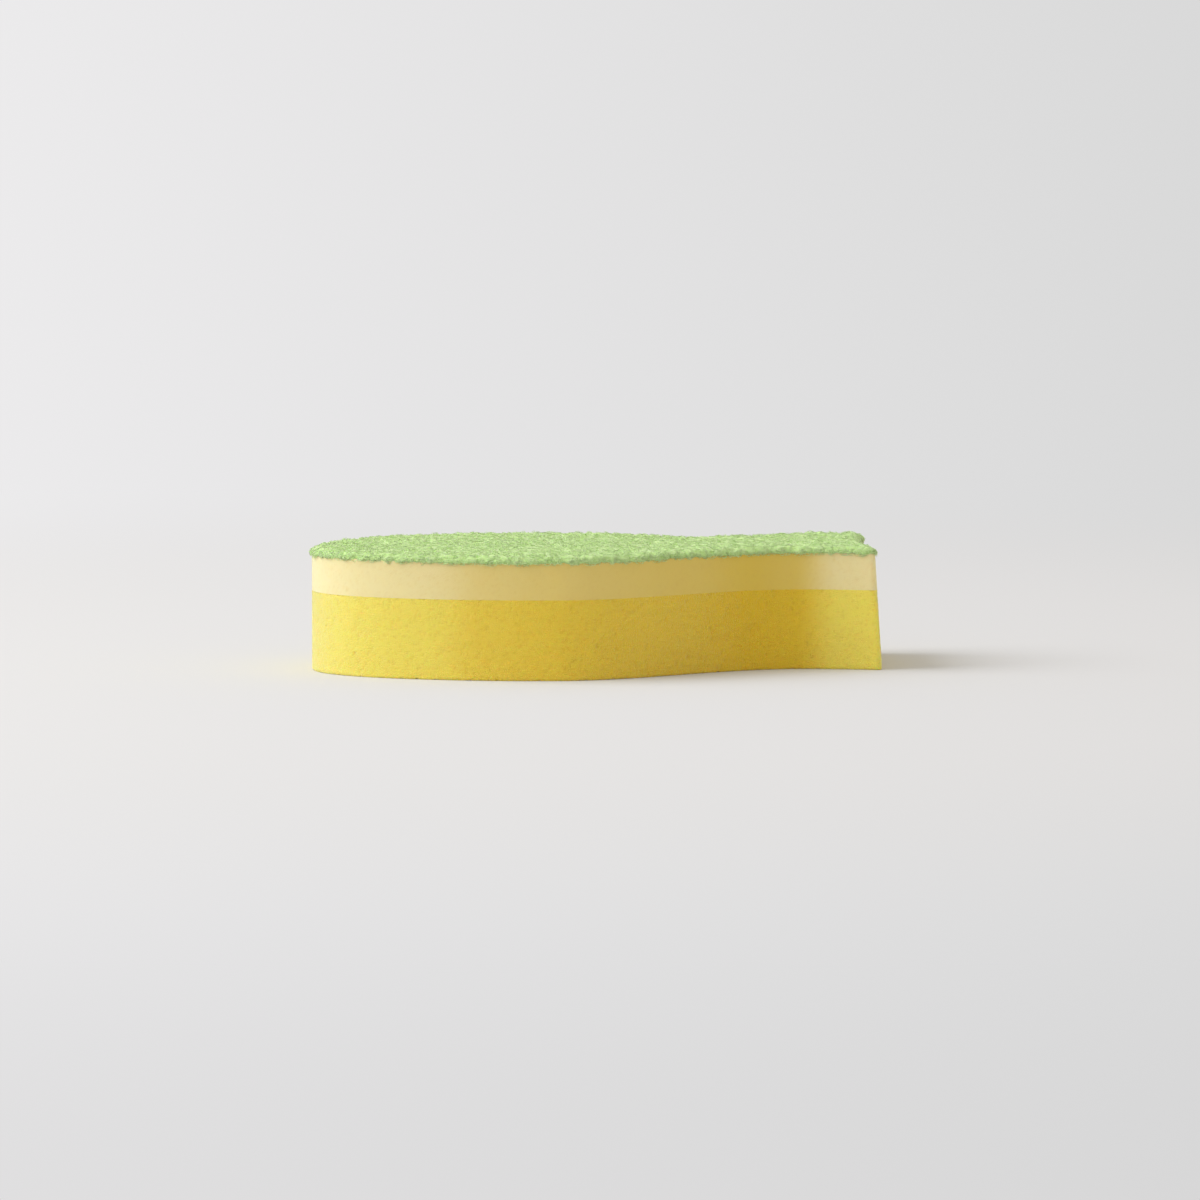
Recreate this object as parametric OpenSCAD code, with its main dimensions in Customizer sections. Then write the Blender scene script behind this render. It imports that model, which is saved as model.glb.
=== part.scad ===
// Three-layer cleaning sponge: rough pad on top, fine foam in the middle, coarse foam below
// Millimetres, +Z up. X runs from the round nose to the tail, and the base rests on Z = 0.
// The near side is the one towards -Y. Places along X are given from the nose.

/* [Layers] */
// Thickness of the coarse yellow foam
yellow_h = 19; // [12:0.1:30]
// Thickness of the fine cream foam
cream_h = 8.8; // [5:0.1:15]
// Thickness of the scouring pad at its highest lumps
pad_h = 2.2; // [1.6:0.1:4]

/* [Plan shape] */
// Length of the top, from the nose to the near tail corner
top_l = 134; // [128:0.5:145]
// Width of the body at its widest
body_w = 75; // [66:0.5:84]
// Distance from the nose to the widest point
bulge_x = 52; // [44:0.5:52]
// How far the tip of the nose lies towards the near side
nose_shift = 5; // [0:0.5:8]
// Where the near side leaves the body towards its waist
near_shoulder_x = 57; // [52:0.5:66]
// Where the long fall of the near side ends
near_waist_x = 118; // [112:0.5:124]
// Sideways place of the near waist
near_waist_y = -5.2; // [-14:0.1:-2]
// Where the flare towards the near tail corner starts
flare_from_x = 112; // [108:0.5:122]
// Sideways place of the near tail corner
near_tail_y = -8.8; // [-16:0.1:-4]
// Where the far side leaves the body towards its waist
far_shoulder_x = 64; // [60:0.5:68]
// Place of the waist on the far side
far_waist_x = 92; // [86:0.5:98]
// Sideways place of the far waist
far_waist_y = 24.5; // [18:0.5:30]
// Place of the far tail lobe
far_lobe_x = 121; // [114:0.5:124]
// Sideways place of the far tail lobe
far_lobe_y = 37.5; // [30:0.5:42]

/* [Tail] */
// How much shorter the tail is on its far side
tail_skew = 2; // [0:0.1:5]
// Depth of the shallow hollow in the tail end
tail_hollow = 2.6; // [0:0.1:4]
// Radius of the two tail corners in plan
tail_corner_r = 2; // [1:0.1:5]
// How far the tail leans out from the top down to the base
tail_lean = 1.9; // [0:0.1:3]

/* [Edges] */
// Radius of the edge round the base
base_edge_r = 0.6; // [0.3:0.1:4]
// Depth of the groove where two layers are bonded
seam_depth = 0.2; // [0:0.1:0.8]
// Height that the groove takes in each layer
seam_h = 0.6; // [0.2:0.1:1]

/* [Pad surface] */
// Height of the lumps in the pad's web
lump_h = 0.6; // [0.2:0.1:0.8]
// How far the pad's frayed edge wanders sideways
fray = 0.3; // [0:0.05:0.5]
// Height of the pad's edge above the cream foam
pad_edge_h = 1.1; // [0.6:0.1:1.4]

/* [Hidden] */
yellow = "#d9bf45";
cream = "#d9c88a";
green = "#b7d98e";
total_h = yellow_h + cream_h + pad_h;
body_half = body_w / 2;
// Cells of the patch that covers the plan, along X and across, and points on its rim
rows = 72;
cols = 40;
rim_n = 2 * rows + 2 * cols;
// Half of the angle that the nose side of the patch takes in the body's ellipse
nose_half_a = 45;
nose_corner_x = bulge_x * (1 - cos(nose_half_a));
// Distance from a sharp tail corner to the middle of its arc, along each side
corner_cut = tail_corner_r * (1 - cos(45));
base_edge_steps = 3;
// The caps are fans round this point, which sees the whole outline
hub = [94, 8];
// The tail starts to lean from here on
lean_from_x = 90;
// The frame's origin lies this far from the nose, under the middle of the part
origin_x = 67.5;
lump_seed = 11;
fray_seed = 5;

// One value between two others, straight or with a soft start and end
function between(a, b, t) = a + (b - a) * t;
function eased(a, b, t) = between(a, b, (1 - cos(180 * t)) / 2);
function share(x, from, to) = (x - from) / (to - from);

// Half width of the body's ellipse at x, and its middle, which bends to the tip of the nose
function body_y(x) = body_half * sqrt(max(0, 1 - pow(1 - x / bulge_x, 2)));
function middle_y(x) = -nose_shift * pow(max(0, 1 - x / bulge_x), 3);

// Near side: round body, long fall to the waist, and a flare that opens to the tail
function flare(x) = (near_tail_y - near_waist_y) * pow(max(0, share(x, flare_from_x, top_l)), 2);
function near_y(x) =
    x < bulge_x ? middle_y(x) - body_y(x) :
    x < near_shoulder_x ? -body_half :
    x < near_waist_x
        ? eased(-body_half, near_waist_y, share(x, near_shoulder_x, near_waist_x)) + flare(x)
        : near_waist_y + flare(x);

// Far side: round body, flat shoulder, hollow waist and a full tail lobe
function far_y(x) =
    x < bulge_x ? middle_y(x) + body_y(x) :
    x < far_shoulder_x ? body_half :
    x < far_waist_x ? eased(body_half, far_waist_y, share(x, far_shoulder_x, far_waist_x)) :
    x < far_lobe_x ? eased(far_waist_y, far_lobe_y, share(x, far_waist_x, far_lobe_x)) :
    far_lobe_y;

// How far a corner arc has turned away from its side, d past the arc's start
function turned(d) = d <= 0 ? 0 : tail_corner_r - sqrt(pow(tail_corner_r, 2) - d * d);

// The four sides of the patch, each for t or s from 0 to 1
function near_side(s) =
    let (x = between(nose_corner_x, top_l - corner_cut, s))
    [x, near_y(x) + turned(x - top_l + tail_corner_r)];
function far_side(s) =
    let (end = top_l - tail_skew, x = between(nose_corner_x, end - corner_cut, s))
    [x, far_y(x) - turned(x - end + tail_corner_r)];
function nose_side(t) =
    let (a = between(-nose_half_a, nose_half_a, t))
    [bulge_x * (1 - cos(a)), middle_y(bulge_x * (1 - cos(a))) + body_half * sin(a)];
function tail_side(t) =
    let (y = between(near_tail_y + corner_cut, far_lobe_y - corner_cut, t))
    let (u = share(y, near_tail_y, far_lobe_y))
    [
        top_l - tail_skew * u - tail_hollow * sin(180 * u)
            - turned(near_tail_y + tail_corner_r - y)
            - turned(y - far_lobe_y + tail_corner_r),
        y
    ];

// A point inside the plan, from the bent rows between nose and tail
function across(s, t) = between(near_side(s), far_side(s), t);
function patch(s, t) =
    across(s, t)
    + (nose_side(t) - across(0, t)) * pow(1 - s, 2)
    + (tail_side(t) - across(1, t)) * pow(s, 2);

// The rim of the patch, counter-clockwise from the near nose corner
rim = concat(
    [for (i = [0:rows - 1]) [i, 0]],
    [for (j = [0:cols - 1]) [rows, j]],
    [for (i = [rows:-1:1]) [i, cols]],
    [for (j = [cols:-1:1]) [0, j]]
);
outline = [for (q = rim) patch(q[0] / rows, q[1] / cols)];
outward = [
    for (k = [0:rim_n - 1])
        let (d = outline[(k + 1) % rim_n] - outline[(k + rim_n - 1) % rim_n])
        [d[1], -d[0]] / norm(d)
];

// A plan point at height z, moved by the lean of the tail
function lean(x, z) = tail_lean * (1 - z / total_h) * max(0, share(x, lean_from_x, top_l));
function placed(p, z) = [p[0] + lean(p[0], z) - origin_x, p[1], z];
function ring(z, inset) = [for (k = [0:rim_n - 1]) placed(outline[k] - outward[k] * inset, z)];

// Closed solid through rings from the lowest up; each row of levels is [height, inset]
module lofted(levels) {
    m = len(levels);
    low = rim_n * m;
    top = low + 1;
    points = concat(
        [for (level = levels) each ring(level[0], level[1])],
        [placed(hub, levels[0][0]), placed(hub, levels[m - 1][0])]
    );
    walls = [
        for (r = [0:m - 2], k = [0:rim_n - 1])
            let (a = r * rim_n + k, b = r * rim_n + (k + 1) % rim_n)
            each [[a, a + rim_n, b + rim_n], [a, b + rim_n, b]]
    ];
    floor_fan = [for (k = [0:rim_n - 1]) [low, k, (k + 1) % rim_n]];
    top_fan = [for (k = [0:rim_n - 1]) [top, (m - 1) * rim_n + (k + 1) % rim_n, (m - 1) * rim_n + k]];
    polyhedron(points, concat(walls, floor_fan, top_fan), convexity = 4);
}

// Heights and insets of one foam side between two bonded faces
function seam_in(z) = [[z, seam_depth], [z + seam_h, 0]];
function seam_out(z) = [[z - seam_h, 0], [z, seam_depth]];
base_edge = [
    for (step = [0:base_edge_steps])
        let (a = 90 * step / base_edge_steps)
        [base_edge_r * (1 - cos(a)), base_edge_r * (1 - sin(a))]
];

// Coarse open-cell foam that lies on the table, with a soft edge round its base
module yellow_foam_base() {
    color(yellow) lofted(concat(base_edge, seam_out(yellow_h)));
}

// Fine dense foam between the coarse foam and the pad
module cream_foam_layer() {
    color(cream) lofted(concat(seam_in(yellow_h), seam_out(yellow_h + cream_h)));
}

// Rough nonwoven pad: a lumpy top over the whole plan, with a frayed rim
module green_scouring_pad() {
    z0 = yellow_h + cream_h;
    lumps = rands(0, 1, (rows + 1) * (cols + 1), lump_seed);
    frays = rands(-fray, fray, rim_n, fray_seed);
    inner = [
        for (i = [0:rows], j = [0:cols])
            placed(patch(i / rows, j / cols), total_h - lump_h * lumps[i * (cols + 1) + j])
    ];
    edge = [for (k = [0:rim_n - 1]) placed(outline[k] + outward[k] * frays[k], z0 + pad_edge_h)];
    points = concat(ring(z0, 0), edge, inner, [placed(hub, z0)]);
    hub_at = len(points) - 1;
    on_rim = function (i, j) i == 0 || i == rows || j == 0 || j == cols;
    rim_at = function (i, j)
        j == 0 && i < rows ? i :
        i == rows && j < cols ? rows + j :
        j == cols && i > 0 ? rows + cols + rows - i :
        2 * rows + cols + cols - j;
    at = function (i, j) on_rim(i, j) ? rim_n + rim_at(i, j) : 2 * rim_n + i * (cols + 1) + j;
    sides = [
        for (k = [0:rim_n - 1])
            let (next = (k + 1) % rim_n)
            each [[k, rim_n + k, rim_n + next], [k, rim_n + next, next]]
    ];
    top = [
        for (i = [0:rows - 1], j = [0:cols - 1])
            let (a = at(i, j), b = at(i + 1, j), c = at(i + 1, j + 1), d = at(i, j + 1))
            each j < cols / 2 ? [[a, d, c], [a, c, b]] : [[a, d, b], [d, c, b]]
    ];
    under = [for (k = [0:rim_n - 1]) [hub_at, k, (k + 1) % rim_n]];
    color(green) polyhedron(points, concat(sides, top, under), convexity = 6);
}

yellow_foam_base();
cream_foam_layer();
green_scouring_pad();
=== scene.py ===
# %% [markdown]
# # A layered cleaning sponge
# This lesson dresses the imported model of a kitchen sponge. The real thing is three sheets bonded
# together and cut with one blade: coarse yellow foam, fine cream foam and a green scouring pad.
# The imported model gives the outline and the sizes. Here each layer gets the surface that its
# making left on it: open cells, fine cells and a web of crimped nylon.

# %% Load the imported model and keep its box
import math

import bmesh
import bpy
import numpy as np
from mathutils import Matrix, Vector
from mathutils.geometry import delaunay_2d_cdt


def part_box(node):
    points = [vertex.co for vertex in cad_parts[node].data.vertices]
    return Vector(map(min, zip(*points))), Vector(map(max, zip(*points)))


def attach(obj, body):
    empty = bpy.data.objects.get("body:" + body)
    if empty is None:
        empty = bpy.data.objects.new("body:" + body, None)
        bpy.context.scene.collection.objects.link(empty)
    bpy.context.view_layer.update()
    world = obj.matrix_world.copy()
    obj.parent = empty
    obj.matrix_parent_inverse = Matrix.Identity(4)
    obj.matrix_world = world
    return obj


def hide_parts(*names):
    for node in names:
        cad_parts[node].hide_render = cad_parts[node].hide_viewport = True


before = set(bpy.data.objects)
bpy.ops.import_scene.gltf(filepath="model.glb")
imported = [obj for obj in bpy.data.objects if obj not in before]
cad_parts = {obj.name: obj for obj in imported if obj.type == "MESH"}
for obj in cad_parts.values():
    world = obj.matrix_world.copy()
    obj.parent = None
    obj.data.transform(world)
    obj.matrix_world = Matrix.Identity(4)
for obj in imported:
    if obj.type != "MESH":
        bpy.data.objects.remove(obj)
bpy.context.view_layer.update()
BODY = "root"
MM = 0.001

# %% [markdown]
# The three nodes share one outline, so the seams are read from their boxes: where the yellow
# foam ends the cream foam starts, and the pad lies on top of that.

# %% Heights of the seams, in millimetres
SEAM_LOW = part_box("yellow_foam_base")[1][2] / MM
SEAM_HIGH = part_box("cream_foam_layer")[1][2] / MM
TOTAL_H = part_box("green_scouring_pad")[1][2] / MM
print("seams at", round(SEAM_LOW, 2), round(SEAM_HIGH, 2), "top at", round(TOTAL_H, 2))

# %% [markdown]
# The outline is worth writing as a rule and not as points. The body is an ellipse, the near side
# falls in one long soft S to its waist, and the far side has a tighter waist and a full lobe.
# The same rule, with the same sizes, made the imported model, so the new skins fit it exactly.
# X runs from the nose to the tail, and the near side, which the camera sees, lies towards minus Y.

# %% Sizes of the plan, in millimetres
TOP_L = 134.0
BODY_HALF = 37.5
BULGE_X = 52.0
NOSE_SHIFT = 5.0
NEAR_SHOULDER_X = 57.0
NEAR_WAIST = (118.0, -5.2)
FLARE_FROM_X = 112.0
NEAR_TAIL_Y = -8.8
FAR_SHOULDER_X = 64.0
FAR_WAIST = (92.0, 24.5)
FAR_LOBE = (121.0, 37.5)
TAIL_SKEW = 2.0
TAIL_HOLLOW = 2.6
CORNER_R = 2.0
TAIL_LEAN = 1.9
LEAN_FROM_X = 90.0
ORIGIN_X = 67.5
print("plan about", TOP_L, "by", 2 * BODY_HALF, "mm")

# %% [markdown]
# Both long sides are chains of two kinds of curve. The body follows an ellipse whose middle line
# bends to the tip of the nose, and past the body each side eases from one place to the next. The
# real outline is cut by a blade of bent steel strip, and such a blade has the same soft bends.

# %% Sideways places of the two long sides
def between(a, b, t):
    """The value a share t of the way from a to b."""
    return a + (b - a) * t


def eased(a, b, t):
    """The same with a soft start and a soft end."""
    return between(a, b, (1 - np.cos(np.pi * np.clip(t, 0, 1))) / 2)


def body_y(x):
    """Half width of the body's ellipse."""
    return BODY_HALF * np.sqrt(np.clip(1 - (1 - x / BULGE_X) ** 2, 0, None))


def middle_y(x):
    """Middle line of the body, which bends to the tip of the nose."""
    return -NOSE_SHIFT * np.clip(1 - x / BULGE_X, 0, None) ** 3


def near_y(x):
    """Near side: round body, long fall to the waist, and a flare that opens to the tail."""
    run = (x - NEAR_SHOULDER_X) / (NEAR_WAIST[0] - NEAR_SHOULDER_X)
    past = np.clip((x - FLARE_FROM_X) / (TOP_L - FLARE_FROM_X), 0, None)
    flare = (NEAR_TAIL_Y - NEAR_WAIST[1]) * past**2
    past_body = eased(-BODY_HALF, NEAR_WAIST[1], run) + flare
    return np.where(x < BULGE_X, middle_y(x) - body_y(x), past_body)


def far_y(x):
    """Far side: round body, flat shoulder, hollow waist and a full tail lobe."""
    fall = eased(BODY_HALF, FAR_WAIST[1], (x - FAR_SHOULDER_X) / (FAR_WAIST[0] - FAR_SHOULDER_X))
    rise = eased(FAR_WAIST[1], FAR_LOBE[1], (x - FAR_WAIST[0]) / (FAR_LOBE[0] - FAR_WAIST[0]))
    past_body = np.where(x < FAR_WAIST[0], fall, rise)
    return np.where(x < BULGE_X, middle_y(x) + body_y(x), past_body)


waist = far_y(FAR_WAIST[0]) - near_y(FAR_WAIST[0])
print("width at the far waist in mm:", round(float(waist), 1))

# %% [markdown]
# The plan has four sides, each a curve from 0 to 1: near side, tail, far side and nose. The nose
# is the front quarter of the body's ellipse, and the tail is a shallow hollow between two small
# round corners.

# %% The plan outline as four sides
NOSE_HALF_A = math.radians(45)
NOSE_CORNER_X = BULGE_X * (1 - math.cos(NOSE_HALF_A))
CORNER_CUT = CORNER_R * (1 - math.cos(math.radians(45)))


def turned(d):
    """How far a corner arc has turned away from its side, d past the arc's start."""
    d = np.clip(d, 0, CORNER_R)
    return CORNER_R - np.sqrt(CORNER_R**2 - d**2)


def near_side(s):
    """Near side from the nose to the tail."""
    x = between(NOSE_CORNER_X, TOP_L - CORNER_CUT, s)
    return np.stack([x, near_y(x) + turned(x - TOP_L + CORNER_R)], -1)


def far_side(s):
    """Far side from the nose to the tail."""
    end = TOP_L - TAIL_SKEW
    x = between(NOSE_CORNER_X, end - CORNER_CUT, s)
    return np.stack([x, far_y(x) - turned(x - end + CORNER_R)], -1)


def nose_side(t):
    """Front of the body from its near corner to its far one."""
    a = between(-NOSE_HALF_A, NOSE_HALF_A, t)
    x = BULGE_X * (1 - np.cos(a))
    return np.stack([x, middle_y(x) + BODY_HALF * np.sin(a)], -1)


def tail_side(t):
    """Tail end from its near corner to its far one."""
    y = between(NEAR_TAIL_Y + CORNER_CUT, FAR_LOBE[1] - CORNER_CUT, t)
    u = (y - NEAR_TAIL_Y) / (FAR_LOBE[1] - NEAR_TAIL_Y)
    x = TOP_L - TAIL_SKEW * u - TAIL_HOLLOW * np.sin(np.pi * u)
    x -= turned(NEAR_TAIL_Y + CORNER_R - y) + turned(y - FAR_LOBE[1] + CORNER_R)
    return np.stack([x, y], -1)


print("tail corners at", tail_side(0.0).round(1).tolist(), tail_side(1.0).round(1).tolist())

# %% [markdown]
# A skin needs points at an even spacing, so the four sides are joined into one loop and the loop
# is walked in equal steps. Each step also gets its outward direction, which pulls the skin in
# round the edge of the base and pushes the pad's hem out.

# %% An even loop of points round the plan
SIDE_POINTS = 1500


def joined(side, tail_end, s):
    """A long side, bent a little so that it meets the tail side at its corner."""
    return side(s) + (tail_side(tail_end) - side(1.0)) * s[:, None] ** 2


def even_rim(step_mm):
    """Points and outward directions round the plan, about step_mm apart."""
    fine = np.linspace(0, 1, SIDE_POINTS)[:-1]
    near = joined(near_side, 0.0, fine)
    far = joined(far_side, 1.0, 1 - fine)
    loop = np.concatenate([near, tail_side(fine), far, nose_side(1 - fine)])
    closed = np.concatenate([loop, loop[:1]])
    along = np.concatenate([[0], np.cumsum(np.linalg.norm(np.diff(closed, axis=0), axis=1))])
    count = round(along[-1] / step_mm)
    at = np.arange(count) * along[-1] / count
    rim = np.stack([np.interp(at, along, closed[:, k]) for k in (0, 1)], -1)
    run = np.roll(rim, -1, 0) - np.roll(rim, 1, 0)
    out = np.stack([run[:, 1], -run[:, 0]], -1) / np.linalg.norm(run, axis=1)[:, None]
    return rim, out


def placed(plan, z):
    """Plan points at height z, in metres in the shared frame, with the lean of the tail."""
    z = np.broadcast_to(z, plan.shape[:-1])
    lean = np.clip((plan[..., 0] - LEAN_FROM_X) / (TOP_L - LEAN_FROM_X), 0, None)
    x = plan[..., 0] + TAIL_LEAN * (1 - z / TOTAL_H) * lean - ORIGIN_X
    return np.stack([x, plan[..., 1], z], -1) * MM


rim_check, _ = even_rim(1.0)
print("outline length in mm:", len(rim_check))

# %% [markdown]
# One small function turns a hex colour to the linear values that Blender works in, and another
# adds a node with its settings and its links. Every material and every node tree uses them. A Mix
# node keeps its two colours in inputs 6 and 7 and its mixed colour in output 2.

# %% Colour and node helpers
MIX_A = 6
MIX_B = 7
MIX_RESULT = 2


def linear(hex_colour):
    """An sRGB hex colour as a linear RGBA tuple."""
    values = [int(hex_colour[k : k + 2], 16) / 255 for k in (1, 3, 5)]
    return (*[v / 12.92 if v <= 0.04045 else ((v + 0.055) / 1.055) ** 2.4 for v in values], 1.0)


def add(tree, kind, links=None, **settings):
    """Adds a node. links maps an input's name or number to a socket or to a plain value."""
    node = tree.nodes.new(kind)
    for name, value in settings.items():
        setattr(node, name, value)
    for key, value in (links or {}).items():
        socket = node.inputs[key]
        if isinstance(value, bpy.types.NodeSocket):
            tree.links.new(value, socket)
        else:
            socket.default_value = value
    return node


def new_material(name):
    """An empty material and its node tree."""
    material = bpy.data.materials.new(name)
    material.use_nodes = True
    material.node_tree.nodes.clear()
    return material, material.node_tree


print("middle grey is", round(linear("#808080")[0], 3), "in linear light")

# %% [markdown]
# The waist turns away from the light and shows mostly light that has come through the foam, so it
# looks a deeper ochre than the two ends. Scattering gives a part of that. The rest is painted
# light
# and shade: a soft ramp along the sponge mixes a lit pale colour at the ends with an ochre painted
# as shade at the waist. Light also scatters a few millimetres inside the foam. Near a bond it
# would leave through a face that another layer hides, which would draw a dark line along the seam,
# so the scattering gets shorter there.

# %% Where light and shade are painted on the foam, and how far light scatters in it
# Places along the sponge in millimetres from the nose, and the share of painted light there:
# 1 paints the lit colour of the ends and 0 the ochre painted as shade at the waist
PAINTED_LIGHT_ALONG = [
    (0, 1.0),
    (28, 0.9),
    (42, 0.5),
    (60, 0.36),
    (90, 0.15),
    (104, 0.0),
    (114, 0.12),
    (126, 1.0),
]

# Reach of the light for each millimetre to the nearer face of the layer
GLOW_NEAR_BOND = 0.5


def painted_light_share(tree, axes):
    """How much painted light a point takes from its place along the sponge, 0 being painted shade.
    """
    along = add(
        tree,
        "ShaderNodeMapRange",
        {"Value": axes["X"], "From Min": -ORIGIN_X * MM, "From Max": (TOP_L - ORIGIN_X) * MM},
    ).outputs["Result"]
    node = add(tree, "ShaderNodeValToRGB", {"Fac": along})
    node.color_ramp.interpolation = "EASE"
    stops = node.color_ramp.elements
    stops.remove(stops[1])
    for x, painted_light in PAINTED_LIGHT_ALONG[1:]:
        stops.new(x / TOP_L).color = (painted_light, painted_light, painted_light, 1.0)
    first = PAINTED_LIGHT_ALONG[0][1]
    stops[0].color = (first, first, first, 1.0)
    return node.outputs["Color"]


def glow_reach(tree, axes, low, high, glow_mm):
    """How far light scatters in a layer between two heights, shorter near its two faces."""
    half = (high - low) * MM / 2
    rise = add(
        tree, "ShaderNodeMath", {0: axes["Z"], 1: low * MM}, operation="SUBTRACT"
    ).outputs[0]
    depth = add(tree, "ShaderNodeMath", {0: rise, 1: half}, operation="PINGPONG").outputs[0]
    near = add(
        tree, "ShaderNodeMath", {0: depth, 1: GLOW_NEAR_BOND}, operation="MULTIPLY"
    ).outputs[0]
    return add(tree, "ShaderNodeMath", {0: near, 1: glow_mm * MM}, operation="MINIMUM").outputs[0]


# The palest places are those that take the most painted light.
print("palest at", [x for x, painted_light in PAINTED_LIGHT_ALONG if painted_light == 1.0], "mm from the nose")

# %% [markdown]
# Polyurethane foam is poured, rises like bread and is sliced when it has set. The knife opens
# every cell that it meets, so the cut face is a field of tiny cups with thin walls between them.
# That makes it fully matt. The walls stand up as a fuzz that is paler than the foam, and sheen
# gives that, most at a glancing view. The walls between the cells are raised by a bump. The cups
# get painted shade: their colour goes deeper with the mesh's attribute called pit, which says how
# deep a point lies in its cell.

# %% Foam material
FUZZ = "#fff7cb"

# A wall falls to the floor of its cup over this share of a cell
WALL_SHARE = 0.28

# Size of the soft clouds of deeper colour, how strong the clouds are, and how strong the
# painted shade in the cups is
CLOUD_MM = 9.0
CLOUD_SHADE = 0.14
PIT_SHADE = 0.16


def foam_material(name, painted_light, painted_shade_ochre, deep_tone_and_painted_shade, low, high, cell_mm, bump_mm, glow_mm, glow_tint):
    """Cut polyurethane foam: painted light at the ends, painted shade at the waist and cells."""
    material, tree = new_material(name)
    place = add(tree, "ShaderNodeTexCoord").outputs["Object"]
    axes = add(tree, "ShaderNodeSeparateXYZ", {0: place}).outputs
    pit = add(tree, "ShaderNodeAttribute", attribute_name="pit").outputs["Fac"]
    cells = add(
        tree,
        "ShaderNodeTexVoronoi",
        {"Vector": place, "Scale": 1 / (cell_mm * MM)},
        feature="DISTANCE_TO_EDGE",
    ).outputs["Distance"]
    walls = add(
        tree,
        "ShaderNodeMapRange",
        {"Value": cells, "From Max": WALL_SHARE, "To Min": 1.0, "To Max": 0.0},
    ).outputs["Result"]
    clouds = add(
        tree, "ShaderNodeTexNoise", {"Vector": place, "Scale": 1 / (CLOUD_MM * MM), "Detail": 2.0}
    ).outputs["Fac"]
    # Painted shade in the cups, added to the random clouds of deeper colour
    painted_cup_shade = add(tree, "ShaderNodeMath", {0: pit, 1: PIT_SHADE}, operation="MULTIPLY").outputs[0]
    tone_and_painted_shade = add(
        tree, "ShaderNodeMath", {0: clouds, 1: CLOUD_SHADE, 2: painted_cup_shade}, operation="MULTIPLY_ADD"
    ).outputs[0]
    # Painted light and shade: the lit colour at the ends and the ochre painted as shade at the
    # waist
    lit_and_shaded_cut = add(
        tree,
        "ShaderNodeMix",
        {0: painted_light_share(tree, axes), MIX_A: linear(painted_shade_ochre), MIX_B: linear(painted_light)},
        data_type="RGBA",
    ).outputs[MIX_RESULT]
    colour = add(
        tree, "ShaderNodeMix", {0: tone_and_painted_shade, MIX_A: lit_and_shaded_cut, MIX_B: linear(deep_tone_and_painted_shade)}, data_type="RGBA"
    ).outputs[MIX_RESULT]
    bump = add(
        tree, "ShaderNodeBump", {"Height": walls, "Distance": bump_mm * MM, "Strength": 0.6}
    ).outputs["Normal"]
    shader = add(
        tree,
        "ShaderNodeBsdfPrincipled",
        {
            "Base Color": colour,
            "Roughness": 0.9,
            "IOR": 1.5,
            "Specular IOR Level": 0.2,
            "Subsurface Weight": 0.7,
            "Subsurface Radius": glow_tint,
            "Subsurface Scale": glow_reach(tree, axes, low, high, glow_mm),
            "Sheen Weight": 0.9,
            "Sheen Roughness": 0.5,
            "Sheen Tint": linear(FUZZ),
            "Normal": bump,
        },
    )
    add(tree, "ShaderNodeOutputMaterial", {"Surface": shader.outputs["BSDF"]})
    return material


print("walls between the cups take this share of a cell:", WALL_SHARE)

# %% [markdown]
# The yellow foam is the coarse one. Light goes some way into it and comes out warmer, because the
# foam lets more red through than blue. The cream foam is finer and denser, so its cells hardly
# stand out, and light comes out of it with less change of colour.

# %% The two foams
# Each foam gets a lit colour painted at its ends, an ochre painted as shade at its waist, and a
# deep colour for its random clouds and for the painted shade in its cups.
YELLOW = foam_material(
    "Coarse yellow polyurethane foam",
    painted_light="#ffeb69",
    painted_shade_ochre="#ebc825",
    deep_tone_and_painted_shade="#c79a1a",
    low=0.0,
    high=SEAM_LOW,
    cell_mm=0.55,
    bump_mm=0.22,
    glow_mm=5.0,
    glow_tint=(1.0, 0.5, 0.2),
)
CREAM = foam_material(
    "Fine cream polyurethane foam",
    painted_light="#f0e3ac",
    painted_shade_ochre="#e1c655",
    deep_tone_and_painted_shade="#d6b560",
    low=SEAM_LOW,
    high=SEAM_HIGH,
    cell_mm=0.35,
    bump_mm=0.03,
    glow_mm=4.0,
    glow_tint=(1.0, 0.85, 0.65),
)
print("foam materials:", YELLOW.name, "and", CREAM.name)

# %% [markdown]
# The pad is a nonwoven: crimped nylon staple is laid down by air, glued where threads cross and
# left uncombed, so it has lumps, hollows and loose loops. Its thread is dyed in the melt, which
# keeps it matt and even. The hollows of the web are darker, because little light gets down there.
# The mesh says through its attribute called rise how high a point lies on its lump.

# %% Nonwoven web material
# Size of the darker patches and how strong they are
PATCH_MM = 1.6
PATCH_SHADE = 0.5

# Spacing of the crimped threads in the web and how far they stand out
CRIMP_MM = 0.35
CRIMP_DEPTH_MM = 0.15


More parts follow.
